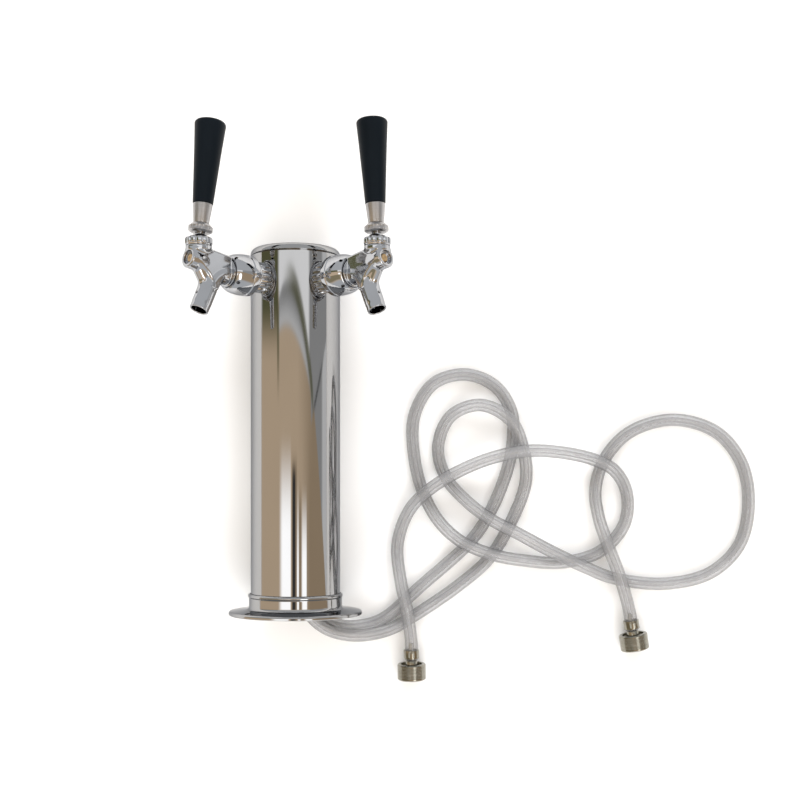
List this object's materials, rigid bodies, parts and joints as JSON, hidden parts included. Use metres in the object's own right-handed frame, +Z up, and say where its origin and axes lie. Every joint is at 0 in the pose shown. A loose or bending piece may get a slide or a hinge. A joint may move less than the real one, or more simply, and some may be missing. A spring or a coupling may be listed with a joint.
{
  "type": "beer tower dispenser",
  "caption": "Free-standing cylindrical draft beer tower on a screw-down flange, with lever faucets and long vinyl beer lines that end in swivel nuts.",
  "frame": {"origin": "on the surface that the tower lies on, at the centre of its length and width, measured without the beer lines and their connectors", "axes": "+Y from the flange towards the handles along the lying tower, +Z up from the surface, and +X to the right in the picture. To stand the tower on its flange, turn it so that the base_flange_face mount's axis points down: the column's own axis is tilted 3.52 degrees from +Y towards -Z, because the flange is wider than the column"},
  "size_m": [0.4892, 0.473, 0.1233],
  "materials": {
    "polished_steel": "mirror-polished stainless steel",
    "chrome": "bright chrome plate",
    "satin_steel": "satin",
    "nickel": "warm nickel plate",
    "brass": "machined",
    "black_plastic": "satin black",
    "vinyl": "clear flexible vinyl",
    "rubber": "matt",
    "nylon": "natural nylon"
  },
  "bodies": {
    "tower": {"column_tube": "polished_steel", "column_cap": "polished_steel", "base_flange": "polished_steel", "left_shank": "nickel", "left_shank_collar": "chrome", "left_shank_saddle": "black_plastic", "left_shank_locknut": "nickel", "left_coupling_nut": "chrome", "left_coupling_gasket": "rubber", "left_faucet_body": "chrome", "left_bonnet": "chrome", "left_friction_washer": "nylon", "left_elbow_tailpiece": "nickel", "left_tail_nut": "nickel", "left_tail_washer": "rubber", "left_inner_clamp": "satin_steel", "left_beer_line": "vinyl", "left_line_clamp": "satin_steel", "left_connector_tailpiece": "nickel", "left_connector_washer": "rubber", "right_shank": "nickel", "right_shank_collar": "chrome", "right_shank_saddle": "black_plastic", "right_shank_locknut": "nickel", "right_coupling_nut": "chrome", "right_coupling_gasket": "rubber", "right_faucet_body": "chrome", "right_bonnet": "chrome", "right_friction_washer": "nylon", "right_elbow_tailpiece": "nickel", "right_tail_nut": "nickel", "right_tail_washer": "rubber", "right_inner_clamp": "satin_steel", "right_beer_line": "vinyl", "right_line_clamp": "satin_steel", "right_connector_tailpiece": "nickel", "right_connector_washer": "rubber"},
    "left_lever": {"left_lever": "chrome", "left_lever_locknut": "satin_steel", "left_handle_ferrule": "satin_steel", "left_handle_grip": "black_plastic"},
    "left_valve": {"left_valve_shaft": "brass", "left_seat_washer": "rubber", "left_shaft_nut": "brass"},
    "left_connector": {"left_connector_nut": "nickel"},
    "right_lever": {"right_lever": "chrome", "right_lever_locknut": "satin_steel", "right_handle_ferrule": "satin_steel", "right_handle_grip": "black_plastic"},
    "right_valve": {"right_valve_shaft": "brass", "right_seat_washer": "rubber", "right_shaft_nut": "brass"},
    "right_connector": {"right_connector_nut": "nickel"}
  },
  "joints": [
    {"name": "left_lever_hinge", "type": "hinge", "parent": "tower", "child": "left_lever", "pos_m": [-0.07106, 0.10205, 0.10934], "axis": [0.7071, 0.0434, 0.7058], "range_deg": [0, 30]},
    {"name": "left_valve_slide", "type": "slide", "parent": "tower", "child": "left_valve", "axis": [0.6964, -0.2161, -0.6844], "range_m": [0, 0.0052]},
    {"name": "right_lever_hinge", "type": "hinge", "parent": "tower", "child": "right_lever", "pos_m": [0.07106, 0.10205, 0.10934], "axis": [0.7071, -0.0434, -0.7058], "range_deg": [0, 30]},
    {"name": "right_valve_slide", "type": "slide", "parent": "tower", "child": "right_valve", "axis": [-0.6964, -0.2161, -0.6844], "range_m": [0, 0.0052]},
    {"name": "left_connector_swivel", "type": "hinge", "parent": "tower", "child": "left_connector", "pos_m": [0.0996, -0.26027, 0.01268], "axis": [0.0174, -0.9998, 0], "continuous": true},
    {"name": "right_connector_swivel", "type": "hinge", "parent": "tower", "child": "right_connector", "pos_m": [0.2978, -0.23332, 0.01268], "axis": [0.1647, -0.9863, 0], "continuous": true}
  ],
  "couplings": [
    {"joint": "left_valve_slide", "follows": "left_lever_hinge", "m_per_rad": 0.00984},
    {"joint": "right_valve_slide", "follows": "right_lever_hinge", "m_per_rad": 0.00966}
  ]
}
